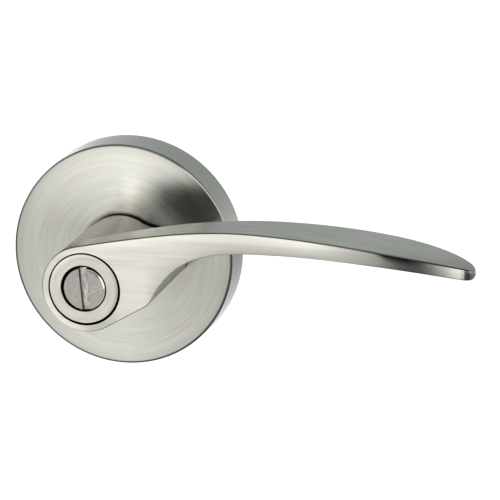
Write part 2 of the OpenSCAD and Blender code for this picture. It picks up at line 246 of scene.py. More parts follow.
def arm_plate(name, front_round, back_round):
    """Arm and hub as one grid. One parameter is the station along x; the other goes round the section
    there: up the top wall from the back, across the front face, and down the underside. Each of the four
    edges is rounded by insetting the outline along its own normal by r(1 - cos a) while the height
    falls short of the face by r(1 - sin a)."""
    x, top, under = lever_outline()
    depth = front_height(x) - back_height(x)
    near_tip = x > TIP_X - 4
    room = np.minimum(0.45 * (top - under), 0.4 * depth)
    a = np.radians(np.linspace(90, 0, 8))
    section = []
    for side, y in ((-1, top), (1, under)):
        tangent = np.stack([np.gradient(x), np.gradient(y)], -1)
        tangent[0] = [0, -side]
        tangent /= np.linalg.norm(tangent, axis=1, keepdims=True)
        normal = side * np.stack([-tangent[:, 1], tangent[:, 0]], -1)
        normal[near_tip] = [0, side]
        rings = []
        front = np.interp(x, CREST_X, CREST_ROUND) if side == -1 else np.full_like(x, front_round)
        edges = ((back_round, back_height, 1, a), (front, front_height, -1, a[::-1]))
        for wanted, face, sign, angles in edges:
            radius = np.where(near_tip, np.minimum(wanted, room), wanted)
            inset = radius[None] * (1 - np.cos(angles[:, None]))
            px = x[None] + inset * normal[:, 0]
            py = y[None] + inset * normal[:, 1]
            height = face(px) + sign * radius[None] * (1 - np.sin(angles[:, None]))
            rings.append(np.stack([px, py, height], -1))
        rings = np.concatenate(rings)
        section.append(rings if side == -1 else rings[::-1])
    points = np.concatenate(section).transpose(1, 0, 2)
    points[-1] = [REACH, TIP_TOP[3][1], CORNER[3][1]]
    return make_mesh(name, placed(points), grid_faces(*points.shape[:2]))


def block(name, x_range, y_range, t_range):
    """Box between two values on each of the drawing's axes, as a cutter or the floor."""
    x, y, t = np.meshgrid(x_range, y_range, t_range, indexing="ij")
    points = np.stack([x, y, t], -1).reshape(-1, 3)
    faces = [[0, 1, 3, 2], [4, 6, 7, 5], [0, 4, 5, 1], [2, 3, 7, 6], [0, 2, 6, 4], [1, 5, 7, 3]]
    return make_mesh(name, placed(points), np.array(faces))


def bored(name, radius, low, high):
    """Solid cylinder on the spindle axis, as a cutter or a journal."""
    return revolved(name, [(0, low), (radius, low), (radius, high), (0, high)], 128, closed=False)


def bake(piece):
    """Applies the piece's modifiers."""
    view = bpy.context.evaluated_depsgraph_get()
    view.update()
    shape = bpy.data.meshes.new_from_object(piece.evaluated_get(view))
    piece.modifiers.clear()
    piece.data = shape


def combine(piece, others, operation):
    """Unites others with the piece or cuts them out of it, then removes them."""
    for other in others:
        step = piece.modifiers.new("cut", "BOOLEAN")
        step.operation, step.solver, step.object = operation, "EXACT", other
    bake(piece)
    for other in others:
        bpy.data.objects.remove(other)


def softened(node, body, material, width):
    """Copy of a CAD node whose corners are rounded by the given width, standing for that node."""
    piece = bpy.data.objects.new(node + "_finished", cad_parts[node].data.copy())
    bpy.context.scene.collection.objects.link(piece)
    work = bmesh.new()
    work.from_mesh(piece.data)
    bmesh.ops.remove_doubles(work, verts=work.verts, dist=2e-7)
    bmesh.ops.dissolve_limit(work, angle_limit=np.radians(1.5), verts=work.verts, edges=work.edges)
    work.to_mesh(piece.data)
    work.free()
    edge = piece.modifiers.new("corners", "BEVEL")
    edge.width, edge.segments, edge.limit_method, edge.angle_limit = width * MM, 2, "ANGLE", np.radians(50)
    bake(piece)
    finish(piece, body, material, [node])


def finish(piece, body, material, nodes=(), sharp=32):
    """Smooth shading broken at sharp edges, finish, body and slot of a piece that stands for CAD nodes."""
    if not len(piece.data.polygons):
        raise RuntimeError(f"{piece.name} has no faces")
    work = bmesh.new()
    work.from_mesh(piece.data)
    bmesh.ops.remove_doubles(work, verts=work.verts, dist=2e-7)
    bmesh.ops.dissolve_degenerate(work, edges=work.edges, dist=2e-7)
    work.to_mesh(piece.data)
    work.free()
    piece.data.shade_smooth()
    piece.data.set_sharp_from_angle(angle=np.radians(sharp))
    weighted = piece.modifiers.new("weighted normals", "WEIGHTED_NORMAL")
    weighted.keep_sharp = True
    piece.data.materials.clear()
    piece.data.materials.append(material)
    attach(piece, body)
    if nodes:
        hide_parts(*nodes)


# ---------------------------------------------------------------- shader maths

class Wire:
    """A socket's value. Each operator adds one Math node, with a number or another wire."""

    def __init__(self, net, socket):
        self.net, self.socket = net, socket

    def math(self, operation, *others):
        return self.net.node("ShaderNodeMath", {"operation": operation}, dict(enumerate((self, *others))))

    def __add__(self, other):
        return self.math("ADD", other)

    def __mul__(self, other):
        return self.math("MULTIPLY", other)

    def __sub__(self, other):
        return self.math("SUBTRACT", other)

    def __rsub__(self, other):
        return self.net.node("ShaderNodeMath", {"operation": "SUBTRACT"}, {0: other, 1: self})

    def __truediv__(self, other):
        return self.math("DIVIDE", other)

    def __pow__(self, other):
        return self.math("POWER", other)

    __radd__ = __add__
    __rmul__ = __mul__


class Net:
    """Node tree of a material or world, emptied first."""

    def __init__(self, owner):
        owner.use_nodes = True
        self.tree = owner.node_tree
        self.tree.nodes.clear()

    def node(self, kind, settings=None, values=None, out=0):
        """Adds a node, sets its settings, then gives its sockets values or wires. Returns one output."""
        made = self.tree.nodes.new(kind)
        for name, value in (settings or {}).items():
            if name == "stops":
                ramp = made.color_ramp.elements
                while len(ramp) < len(value):
                    ramp.new(0.5)
                for stop, (place, colour) in zip(ramp, value):
                    stop.position, stop.color = place, (*colour, 1)
            else:
                setattr(made, name, value)
        for key, value in (values or {}).items():
            if isinstance(value, Wire):
                self.tree.links.new(value.socket, made.inputs[key])
            else:
                made.inputs[key].default_value = value
        return Wire(self, made.outputs[out]) if made.outputs else None

    def place(self, coordinates=3):
        """The three parts of the Object coordinates, or of another output of Texture Coordinate."""
        spot = self.node("ShaderNodeTexCoord", out=coordinates)
        return [self.node("ShaderNodeSeparateXYZ", values={0: spot}, out=i) for i in range(3)]

    def vector(self, x=0.0, y=0.0, z=0.0):
        return self.node("ShaderNodeCombineXYZ", values={0: x, 1: y, 2: z})

    def noise(self, vector, scale, detail=2.0, roughness=0.5):
        return self.node("ShaderNodeTexNoise", {"noise_dimensions": "3D"}, {
            "Vector": vector, "Scale": scale, "Detail": detail, "Roughness": roughness})

    def mix(self, factor, first, second):
        """Colour between two colours."""
        first, second = (c if isinstance(c, Wire) else (*c, 1) for c in (first, second))
        return self.node("ShaderNodeMix", {"data_type": "RGBA"}, {0: factor, 6: first, 7: second}, out=2)

    def remap(self, value, low, high, to_low=0.0, to_high=1.0):
        """A value from low to high, moved to the other range and held inside it."""
        return self.node("ShaderNodeMapRange", {}, {
            "Value": value, "From Min": low, "From Max": high, "To Min": to_low, "To Max": to_high})

    def gap(self, colour, height, deep, shown):
        """Painted shade: colour that falls to near black below the given depth, where a narrow gap is in
        shade.
        """
        return self.mix(self.remap(height, deep, shown), (0.012, 0.012, 0.016), colour)

    def along(self, value, points):
        """Height, at a value in metres, of lines that join points (millimetres, height), off a grey ramp."""
        (low, _), (high, _), peak = points[0], points[-1], max(y for _, y in points)
        stops = [((x - low) / (high - low), (y / peak,) * 3) for x, y in points]
        place = self.remap(value, low * MM, high * MM)
        return self.node("ShaderNodeValToRGB", {"stops": stops}, {0: place}) * float(peak)

    def inside(self, value, low, high, soft):
        """1 between two values, falling to 0 over a soft margin outside them."""
        return self.remap(value, low - soft, low) * self.remap(value, high, high + soft, 1.0, 0.0)

    def lit(self, gain, colour):
        """Colour held HEADROOM times too bright, brought to the given gain."""
        return self.mix(gain * (1 / HEADROOM), (0.004, 0.004, 0.006), colour)

    def bump(self, height, strength, distance):
        return self.node("ShaderNodeBump", {}, {"Height": height, "Strength": strength, "Distance": distance})

    def surface(self, **sockets):
        """Principled surface on the material's output."""
        names = {key.replace("_", " "): value for key, value in sockets.items()}
        shader = self.node("ShaderNodeBsdfPrincipled", {}, names)
        self.node("ShaderNodeOutputMaterial", {}, {"Surface": shader})


def polar(net):
    """Distance from the spindle axis, and the unit direction round it, which has no seam."""
    x, _, z = net.place()
    radius = (x * x + z * z).math("SQRT")
    return radius, x / (radius + 1e-6), z / (radius + 1e-6)


def streaked(net, shade, tint, spread):
    """Colour between a darker and a lighter tint, both held HEADROOM times too bright."""
    dark, light = ([min(1, c * HEADROOM * k) for c in tint] for k in (1 - spread, 1 + spread))
    return net.mix(shade, dark, light)


def satin_along(name, tint, roughness):
    """Satin nickel brushed along the lever: fine streaks drawn out in x. Light and shade are painted into its
    colour:
    painted shade in the trim ring's recess and the web's hollow, darker behind the arm, and painted shade and
    highlights along its front, its top and its turned edges. Distances are in metres."""
    net = Net(bpy.data.materials.new(name))
    x, y, z = net.place()
    streaks = net.noise(net.vector(x * 34, y * 520, z * 1500), 1.0, 4, 0.65)
    wide = net.noise(net.vector(x * 16, y * 190, z * 520), 1.0, 2, 0.5)
    clouds = net.noise(net.vector(x, y, z), 45, 3)
    colour = streaked(net, net.remap(streaks * 0.6 + wide * 0.4, 0.33, 0.67), tint, 0.12)

    # Distances below the top edge, above the underside, behind the front face and from the spindle axis
    stations, top, under = lever_outline()
    top_x = np.linspace(-4, REACH, 30)
    under_x = np.concatenate([np.linspace(21, 32, 12), np.linspace(36, REACH, 17)])
    drop = net.along(x, np.stack([top_x, np.interp(top_x, stations, top)], 1).tolist()) * MM - z
    rise = z - net.along(x, np.stack([under_x, np.interp(under_x, stations, under)], 1).tolist()) * MM
    sweep = net.remap(x, 0.050, TIP_X * MM) ** 1.66 * (FRONT_SWEEP * MM)
    depth = y + FACE_T * MM - sweep
    radius = (x * x + z * z).math("SQRT")

    # Where the top, the front, the back of the web and the tip are
    past_hub = net.remap(x, -0.004, 0.004)
    at_back = net.remap(depth - x * 0.19, 0.0072, 0.0082) * net.remap(x, 0.036, 0.046, 1.0, 0.0)
    on_top = net.remap(drop, 0.0003, 0.0006, 1.0, 0.0) * net.remap(depth, 0.0002, 0.0006)
    on_top = on_top * (1.0 - at_back) * past_hub
    at_tip = net.remap(x, (TIP_X - 0.5) * MM, TIP_X * MM)
    on_front = net.remap(depth, 0.0003, 0.0006, 1.0, 0.0).math("MAXIMUM", at_tip)
    on_front = on_front * net.remap(drop, 0.0002, 0.0004)

    # Painted shade: the front darkens downwards, with a painted highlight on the crest by the hub and a
    # painted dark reflection as a wedge under the crest's end
    down = (drop / (drop + rise)).math("MINIMUM", 1.0)
    fall_shade = 1.0 - down * down * net.along(x, FRONT_FALL_SHADE)
    crest_highlight = net.remap(drop, 0.0004, 0.0032, 0.26, 0.0) * net.remap(x, 0.062, 0.072, 1.0, 0.0) * past_hub
    wedge_reflection = net.remap(x - drop * 1.6, 0.0796, 0.0826) * net.remap(x, 0.090, 0.0955, 1.0, 0.0)
    wedge_reflection = wedge_reflection * net.remap(drop, 0.0007, 0.0027, 0.93, 0.0)
    front = net.along(x, FRONT_SHADE) * fall_shade * (crest_highlight + 1.0) * (1.0 - wedge_reflection)
    # Painted shade on the top towards its front edge near the tip
    lean_shade = net.remap(depth, 0.0005, 0.012, 0.2, 0.0) * net.remap(x, 0.080, 0.098)
    gain = on_top * (net.along(x, TOP_SHADE) * (1.0 - lean_shade) - 1.0) + on_front * (front - 1.0)
    # Painted light: brighter behind the arm by the hub, on the neck
    gain = gain + at_back * net.remap(x, -0.006, 0.005, 0.25, 0.0) + 1.0

    # The hub: painted shade on the shoulder at the upper left, and a margin round the ring with painted light
    # below left and painted shade below right
    shoulder_shade = toward(x / radius, z / radius, 128, 0.8, 0.93) * net.remap(radius, 0.0119, 0.0121)
    shoulder_shade = shoulder_shade * net.remap(depth, 0.0003, 0.0006, 0.0, 0.75)
    shoulder_shade = shoulder_shade * net.remap(depth, 0.003, 0.011, 1.0, 0.0)
    margin = net.remap(radius, 0.0123, 0.0126, 1.0, 0.0) * net.remap(radius, 0.0103, 0.0106) * on_front
    lower_left = net.remap((x * -0.64 - z * 0.77) / radius, 0.7, 1.0, 0.0, 0.26)
    lower_right = net.remap((x * 0.45 - z * 0.89) / radius, 0.84, 1.0, 0.0, 0.22)
    gain = gain * (1.0 - shoulder_shade) * (margin * (lower_left - lower_right) + 1.0)

    # Painted shade: dark lines on the turned edges, more at the heel and the tip, and shade in the web's
    # hollow and its pit, behind the arm and under it, and at the neck's foot
    # Painted shade: darker towards the lower left of the hub and web
    low = net.remap(z * 0.8 + x * 0.5, -0.010, 0.008, 0.12, 0.0)
    # Painted shade: a thin dark line on the rounded edges of the front face
    edge = net.remap(depth, 0.00003, 0.00009) * net.remap(depth, 0.00035, 0.0006, 1.0, 0.0)
    # Painted shade: the edge line is darker at the heel and towards the tip
    heel = net.remap(z, -0.001, -0.004, 0.0, 0.36) * net.remap(x, 0.001, 0.005)
    heel = heel + net.remap(x, 0.084, 0.1, 0.0, 0.2)
    # Painted shade in the web's hollow
    hollow = net.remap(x, 0.0125, 0.0150) * net.remap(x, 0.0236, 0.0250, 1.0, 0.0)
    hollow = hollow * net.remap(z, 0.0072, 0.0088, 1.0, 0.0) * net.remap(depth, 0.0009, 0.0016)
    # Painted shade: a dark mark where the web's fin meets the arm's underside
    pit_shade = net.inside(x, 0.0264, 0.0274, 0.0004) * net.inside(z, 0.0066, 0.0080, 0.0004)
    pit_shade = pit_shade * net.remap(depth, 0.0004, 0.0008, 0.0, 0.9)
    # Painted shade behind the arm, towards the top of the web's back
    behind = at_back * net.remap(z, 0.0088, 0.0105) * net.remap(x, 0.006, 0.010)
    # Painted shade on the neck below the arm's back
    throat_shade = at_back * net.remap(z, 0.000, 0.008) * net.remap(x, -0.010, 0.008, 0.3, 0.6)
    # Painted contact shade at the neck's foot by the rose
    foot_shade = net.remap(y, -0.0141, -0.0134, 0.0, 0.95) * net.remap(radius, 0.0105, 0.0110)
    painted_shade = edge * (heel + 0.62)
    for place in (hollow * 0.92, behind * 0.66, throat_shade, pit_shade, foot_shade):
        painted_shade = painted_shade.math("MAXIMUM", place)
    # Painted shade: near black inside the trim ring's recess
    recess_shade = net.remap(radius, 0.0106, 0.01064, 1.0, 0.0) * net.remap(y, -0.0489, -0.0488)
    gain = gain * (1.0 - (painted_shade + low).math("MINIMUM", 1.0)) * (1.0 - recess_shade)
    net.surface(
        Base_Color=net.lit(gain, colour), Metallic=1.0,
        Roughness=net.remap(clouds * 0.5 + streaks * 0.5, 0.3, 0.7, roughness - 0.03, roughness + 0.04),
        Normal=net.bump(streaks + wide, 0.1, 0.00004))
    return bpy.data.materials[name]


def satin_round(name, tint, roughness, depth, lines):
    """Satin nickel brushed round the spindle axis: rings of fine lines in radius, and in y along a wall.
    Returns the tree, the streaked colour, what feeds the other sockets, and the place as (r, cos, sin, y)."""
    net = Net(bpy.data.materials.new(name))
    radius, cos_a, sin_a = polar(net)
    _, y, _ = net.place()
    fine, wide, broad = (
        net.noise(net.vector(radius * n, cos_a * turn + y * n, sin_a * turn), 1.0, detail, rough)
        for n, turn, detail, rough in (
            (lines, 2.2, 3, 0.65), (lines * 0.32, 1.6, 2, 0.55), (lines * 0.11, 1.2, 2, 0.5)))
    colour = streaked(net, net.remap(fine * 0.15 + wide * 0.55 + broad * 0.3, 0.38, 0.62), tint, 0.09)
    rest = {
        "Metallic": 1.0, "Roughness": net.remap(fine, 0.3, 0.7, roughness - 0.03, roughness + 0.04),
        "Normal": net.bump(fine + wide * 0.5, depth, 0.00004),
    }
    return net, colour, rest, (radius, cos_a, sin_a, y)


def toward(cos_a, sin_a, degrees, low, high, to_low=0.0, to_high=1.0):
    """Shade by how nearly the direction round the axis points to the given angle: the cosine between the
    two, from low to high, becomes to_low to to_high."""
    a = np.radians(degrees)
    return cos_a.net.remap(cos_a * float(np.cos(a)) + sin_a * float(np.sin(a)), low, high, to_low, to_high)


def rose_nickel(name, tint, roughness):
    """Rose finish, brushed round, with light and shade painted into its colour: a painted sheen as a brighter
    fan above and below the axis, in sin^2 of the angle round it, a sharper painted step where the fan meets
    the lever's reflection, painted shade round the neck and on the wall's two sides, a painted rim line and
    highlight, and a cooler painted reflection towards the upper right. Distances are in metres."""
    net, colour, rest, (radius, cos_a, sin_a, y) = satin_round(name, tint, roughness, 0.16, 5200.0)
    # Painted sheen: the face is brighter above and below the axis, in sin^2 of the angle
    fan = sin_a * sin_a * (sin_a * 0.11 + 0.29) + 0.575
    # Painted highlight: a brighter step where the sheen meets the lever's reflection
    step = toward(cos_a, sin_a, 62, 0.87, 0.96) * net.inside(radius, 0.0145, 0.0200, 0.006) * 0.38
    # Painted shade: the arm's dark reflection beside the neck, shade at its upper left, contact shade round
    # it, and darker towards the lower right
    ahead_reflection = toward(cos_a, sin_a, 42, 0.95, 0.99) * net.remap(radius, 0.017, 0.0135, 0.0, 0.4)
    corner = toward(cos_a, sin_a, 128, 0.68, 0.93) * net.remap(radius, 0.0135, 0.028, 0.24, 0.03)
    contact_shade = toward(cos_a, sin_a, 124, 0.84, 0.95) * net.remap(radius, 0.0124, 0.0136, 0.7, 0.0)
    low_right_shade = toward(cos_a, sin_a, -35, 0.6, 0.95, 0.0, 0.14)
    # Painted on the rim: a highlight at the upper right, a thin dark line round the rest, and shade towards
    # its edge
    lit = toward(cos_a, sin_a, 33, 0.90, 0.95)
    line = net.remap(radius, 0.0322, 0.0326) * (1.0 - lit) * net.remap(sin_a, -0.3, 0.8, 0.88, 0.5)
    glint = net.remap(radius, 0.0324, 0.0327) * lit * 0.3
    rim = net.remap(radius, 0.0295, 0.0325, 1.0, 0.88) * (1.0 - line) * (glint + 1.0)
    # Painted shade on the wall: darker at both sides, most at the right
    right = net.remap(cos_a, 0.3, 0.6) * net.remap(sin_a, 0.03, 0.42, 0.82, 0.0)
    wall = (1.0 - cos_a * cos_a * 0.5) * (1.0 - right)
    on_wall = net.remap(y, -0.0115, -0.0112) * net.remap(radius, 0.0320, 0.0325)
    face = fan * rim * (step + 1.0)
    for shade in (ahead_reflection, corner, contact_shade, low_right_shade):
        face = face * (1.0 - shade)
    # Painted reflection: a cooler tint on the face towards the upper right
    cool_reflection = toward(cos_a, sin_a, 36, 0.84, 0.95, 0.0, 0.4) * net.remap(radius, 0.030, 0.022) * (1.0 - on_wall)
    colour = net.mix(cool_reflection, colour, [c * k * HEADROOM for c, k in zip(tint, (0.84, 0.96, 1.18))])
    net.surface(Base_Color=net.lit(face * (1.0 - on_wall) + wall * on_wall, colour), **rest)
    return bpy.data.materials[name]


def ring_nickel(name, tint, roughness):
    """Trim ring finish: brushed round, with a painted highlight up its left edge, painted shade towards its
    right, and painted shade on its walls inside their gaps.
    """
    net, colour, rest, (radius, cos_a, sin_a, y) = satin_round(name, tint, roughness, 0.2, 2400.0)
    outer = net.remap(radius, 0.0088, 0.0094)
    # Painted highlight on the outer part up the left, painted shade towards the right
    left_highlight = toward(cos_a, sin_a, 125, 0.4, 0.9, 0.0, 0.2)
    dark = toward(cos_a, sin_a, -5, 0.6, 0.95, 0.0, 0.22)
    gain = 0.87 + outer * left_highlight - outer * dark - toward(cos_a, sin_a, 0, 0.8, 1.0, 0.0, 0.05)
    net.surface(Base_Color=net.gap(net.lit(gain, colour), y * -1.0, 0.0487, 0.0488), **rest)
    return bpy.data.materials[name]


def turned_button(name, tint, slot_half, floor_t):
    """Turned face with fine rings, coin scratches that cross it both ways, a painted glint and painted shadow
    by the edge, a bright streaked slot floor, and painted shade on the walls of the slot and of the gap round
    the edge."""
    net = Net(bpy.data.materials.new(name))
    radius, cos_a, sin_a = polar(net)
    x, y, z = net.place()
    t = y * -1.0
    rings = net.noise(net.vector(radius * 3500, cos_a * 2 + y * 3000, sin_a * 2), 1.0, 3, 0.6)
    scratch = net.noise(net.vector((x * 0.35 + z) * 3000, (x - z * 0.35) * 170, y * 400), 1.0, 3, 0.7)
    cross = net.noise(net.vector((x - z * 0.8) * 2600, (x * 0.8 + z) * 190, y * 400), 1.0, 2, 0.7)
    marks = net.remap(scratch, 0.58, 0.76, 0.0, 0.45) + net.remap(cross, 0.6, 0.78, 0.0, 0.45)
    breaks = net.remap(net.noise(net.vector(x, z, y), 900, 2), 0.4, 0.5)
    for turn, offset in ((18, -0.0001), (27, -0.0018), (-36, 0.0012), (64, 0.0021)):
        a = np.radians(turn)
        away = (x * float(np.sin(a)) - z * float(np.cos(a)) + offset).math("ABSOLUTE")
        marks = marks + net.remap(away, 0.00002, 0.00009, 0.8, 0.0) * breaks
    shade = net.remap(rings * 0.5 + marks * 0.5, 0.2, 0.75)
    face = net.mix(shade, [c * 0.72 for c in tint], [min(1, c * 1.35) for c in tint])
    glint = toward(cos_a, sin_a, 24, 0.93, 0.97) * net.remap(radius, 0.0054, 0.0056)
    shadow = toward(cos_a, sin_a, 55, 0.9, 0.97) * net.inside(radius, 0.0053, 0.0055, 0.0001)
    face = net.mix(shadow * 0.7, net.mix(glint, face, (0.98, 0.98, 0.96)), (0.02, 0.02, 0.024))
    # The slot floor is streaked between a dark and a bright tint
    floor_streaks = net.noise(net.vector((x + z * 0.1) * 2600, 0.0, z * 420), 1.0, 3, 0.6)
    bright_floor_tint = [min(1, c * 1.42) for c in tint]
    floor = net.mix(net.remap(floor_streaks, 0.35, 0.65), [c * 0.45 for c in tint], bright_floor_tint)
    across = (x + z * float(np.tan(np.radians(SLOT_LEAN)))).math("ABSOLUTE")
    in_slot = net.remap(across, slot_half - 0.00008, slot_half, 1.0, 0.0)
    # Painted shade: the walls of the slot and of the gap round the edge go near black below the face
    below = net.remap(t, FACE_T * MM - 0.00052, FACE_T * MM - 0.0004, 1.0, 0.0)
    on_floor = net.remap(t, floor_t, floor_t + 0.00012, 1.0, 0.0) * in_slot
    walls = net.mix(below, face, (0.03, 0.03, 0.034))
    net.surface(
        Base_Color=net.mix(on_floor, walls, floor), Metallic=1.0,
        Roughness=net.remap(marks, 0.0, 1.0, 0.3, 0.42), Normal=net.bump(rings - marks * 0.5, 0.25, 0.00005))
    return bpy.data.materials[name]


def worked_metal(name, tint, roughness, grain, stretch=(1.0, 1.0, 1.0), mottle=0.1, metallic=1.0):
    """Hidden steel or zinc: mottled plating over a grain that may be drawn out one way."""
    net = Net(bpy.data.materials.new(name))
    parts = net.place()
    fine = net.noise(net.vector(*[part * s for part, s in zip(parts, stretch)]), grain, 3, 0.6)
    patches = net.noise(net.vector(*parts), 140, 3, 0.55)
    shade = net.remap(patches * 0.6 + fine * 0.4, 0.3, 0.7)
    net.surface(
        Base_Color=net.mix(shade, [c * (1 - mottle) for c in tint], [min(1, c * (1 + mottle)) for c in tint]),
        Metallic=metallic, Roughness=net.remap(patches, 0.3, 0.7, roughness - 0.05, roughness + 0.07),
        Normal=net.bump(fine, 0.18, 0.00006))
    return bpy.data.materials[name]


# ---------------------------------------------------------------- settings

def length(name, description, default):
    """A size in metres, shown with its unit."""
    return FloatProperty(
        name=name, description=description, default=default, min=0.0, subtype="DISTANCE", unit="LENGTH")


def tint(name, description, default):
    """A metal's colour."""
    return FloatVectorProperty(
        name=name, description=description, default=default, min=0.0, max=1.0, subtype="COLOR")


class HandleSizes(bpy.types.PropertyGroup):
    """Sizes of the handle's edges and rims."""

    front_round: length("Front edge", "Rounding of the lever's front edges", 0.00045)
    back_round: length("Back edge", "Rounding of the arm's back edges", 0.0006)
    rim_round: length("Rose rim", "Rounding of the rose's front edge", 0.00055)
    ring_radius: length("Ring radius", "Outer radius of the trim ring", 0.00988)
    ring_hole: length("Ring hole", "Radius of the hole through the trim ring", 0.00655)
    button_radius: length("Button radius", "Radius of the coin-turn button", 0.00602)
    slot_width: length("Slot width", "Width of the coin slot", 0.0022)
    slot_depth: length("Slot depth", "Depth of the coin slot", 0.0012)


class HandleFinish(bpy.types.PropertyGroup):
    """Colours and gloss of the handle's metals."""

    lever: tint("Lever", "Satin nickel of the lever and trim ring", (0.625, 0.609, 0.549))
    rose: tint("Rose", "Satin nickel of the rose", (0.76, 0.732, 0.648))
    button: tint("Button", "Turned nickel of the button", (0.425, 0.41, 0.375))
    steel: tint("Plated steel", "Zinc plate of the mounting parts", (0.62, 0.63, 0.64))
    roughness: FloatProperty(
        name="Roughness", description="Roughness of the brushed nickel", default=0.23, min=0.05, max=1.0)


class HandleStage(bpy.types.PropertyGroup):
    """Light and floor of the stage."""

    floor: tint("Floor", "Colour of the floor", (0.86, 0.86, 0.86))
    overhead: FloatProperty(
        name="Overhead light", description="Strength of the wide light above", default=3.7, min=0.0)
    sky: FloatProperty(name="Sky", description="Strength of the surroundings", default=1.5, min=0.0)


# ---------------------------------------------------------------- pieces

class HANDLE_OT_lever(bpy.types.Operator):
    """Builds the arm, hub, neck and journal as one solid with its bores"""

    bl_idname = "handle.lever"
    bl_label = "Lever"

    def execute(self, context):
        sizes, colours = context.scene.handle_sizes, context.scene.handle_finish
        lever = arm_plate("lever_body", sizes.front_round / MM, sizes.back_round / MM)
        outline = neck_outline()
        neck = slab("neck", outline - 0.015 * inward(outline), NECK_BACK, FACE_T - 0.7, 0.4, 0.0)
        combine(lever, [neck, bored("journal", JOURNAL_R, JOURNAL_BACK, NECK_BACK + 0.6)], "UNION")
        recess = revolved("recess", [
            (0, RECESS_T), (RECESS_R, RECESS_T), (RECESS_R, FACE_T - 0.12), (RECESS_R + 0.04, FACE_T - 0.04),
            (RECESS_R + 0.12, FACE_T + 0.001), (RECESS_R + 0.12, FACE_T + 1), (0, FACE_T + 1)], closed=False)
        screw = bored("screw_hole", SCREW_R, 7, 14)
        from_below = Matrix.Rotation(np.radians(90), 4, "X")
        screw.data.transform(Matrix.Translation((0, -SCREW_T * MM, 0)) @ from_below)
        sleeve_bore = bored("sleeve_bore", SLEEVE_BORE_R, 7, RECESS_T - WEB_T)
        stem_bore = bored("stem_bore", STEM_BORE_R, RECESS_T - 4.2, RECESS_T + 1)
        combine(lever, [sleeve_bore, stem_bore, recess, screw], "DIFFERENCE")
        nickel = satin_along("nickel_along", colours.lever, colours.roughness)
        finish(lever, "lever_set", nickel, ["lever"])
        return {"FINISHED"}


class HANDLE_OT_rose(bpy.types.Operator):
    """Spins the cover shell: conical wall, crisp rounded rim and faintly dished face"""

    bl_idname = "handle.rose"
    bl_label = "Rose"

    def execute(self, context):
        sizes, colours = context.scene.handle_sizes, context.scene.handle_finish
        back_r, high, rim = ROSE_HIGH.x / MM, -ROSE_LOW.y / MM, sizes.rim_round / MM
        front_r, wall, hole, dish = back_r - 0.42, 1.0, 10.3, 0.4
        centre = (front_r - rim, high - rim)
        face = [
            (front_r - 4, high - 0.05), (24, high - 0.6 * dish), (16, high - dish), (hole + 0.4, high - dish)]
        lip = quarter((hole + 0.3, high - dish - 0.3), 0.3, 90, 180, 5)
        inner = [
            (hole, high - dish - wall), (16, high - dish - wall), (24, high - wall - 0.6 * dish),
            (front_r - wall - 0.4, high - wall), (front_r - wall, high - wall - 0.4), (back_r - wall, 0),
            (back_r - 0.25, 0)]
        profile = np.concatenate([[(back_r, 0.25)], quarter(centre, rim, 2, 90, 9), face, lip, inner])
        nickel = rose_nickel("nickel_round", colours.rose, colours.roughness - 0.04)
        finish(revolved("rose_cover", profile, 256), "base", nickel, ["rose"], 24)
        return {"FINISHED"}


class HANDLE_OT_trim_ring(bpy.types.Operator):
    """Spins the flat ring let into the hub's face round the button"""

    bl_idname = "handle.trim_ring"
    bl_label = "Trim ring"

    def execute(self, context):
        sizes, colours = context.scene.handle_sizes, context.scene.handle_finish
        outer, inner = sizes.ring_radius / MM, sizes.ring_hole / MM
        profile = np.concatenate([
            [(inner, RECESS_T), (outer + 0.1, RECESS_T), (outer + 0.1, RECESS_T + 1.3),
             (outer, RECESS_T + 1.4)],
            quarter((outer - 0.16, FACE_T - 0.16), 0.16, 0, 90),
            quarter((inner + 0.25, FACE_T - 0.25), 0.25, 90, 180)])
        at_hole = profile[:, :1] < inner + 0.5          # the hole is a touch further off the axis
        ring = revolved("trim_ring_band", profile, centres=np.where(at_hole, [-0.24, 0.16], [-0.14, 0.12]))
        nickel = ring_nickel("nickel_ring", colours.lever, colours.roughness)
        finish(ring, "lever_set", nickel, ["trim_ring"])
        return {"FINISHED"}


class HANDLE_OT_button(bpy.types.Operator):
    """Spins the button and its stem, and stands its two half-round faces either side of the coin slot"""

    bl_idname = "handle.button"
    bl_label = "Turn button"

    def execute(self, context):
        sizes, colours = context.scene.handle_sizes, context.scene.handle_finish
        radius, half = sizes.button_radius / MM, sizes.slot_width / MM / 2
        floor_t = FACE_T - sizes.slot_depth / MM
        stem, back, clip = 3.4, RECESS_T - 8.6, RECESS_T - 5.0
        button = revolved("turn_button_face", [
            (0, back), (stem - 0.3, back), (stem, back + 0.3), (stem, clip), (stem - 0.7, clip),
            (stem - 0.7, clip + 0.8), (stem, clip + 0.8), (stem, RECESS_T + 0.35), (radius, RECESS_T + 0.35),
            (radius, floor_t), (0, floor_t)], closed=False)
        reach = np.degrees(np.arccos(half / radius))
        d_shape = circle(radius - 0.004, -reach, reach, 61)
        halves = [slab("half", side * d_shape, floor_t - 0.5, FACE_T - 0.2, 0.0, 0.22, 7) for side in (1, -1)]
        combine(button, halves, "UNION")
        key = block("key", (-0.8, 0.8), (-2.15, 2.15), (back - 1, back + 2.6))
        combine(button, [key], "DIFFERENCE")
        button.data.transform(Matrix.Rotation(-np.radians(SLOT_LEAN), 4, "Y"))
        nickel = turned_button("nickel_turned", colours.button, half * MM, floor_t * MM)
        finish(button, "button_set", nickel, ["turn_button"])
        return {"FINISHED"}


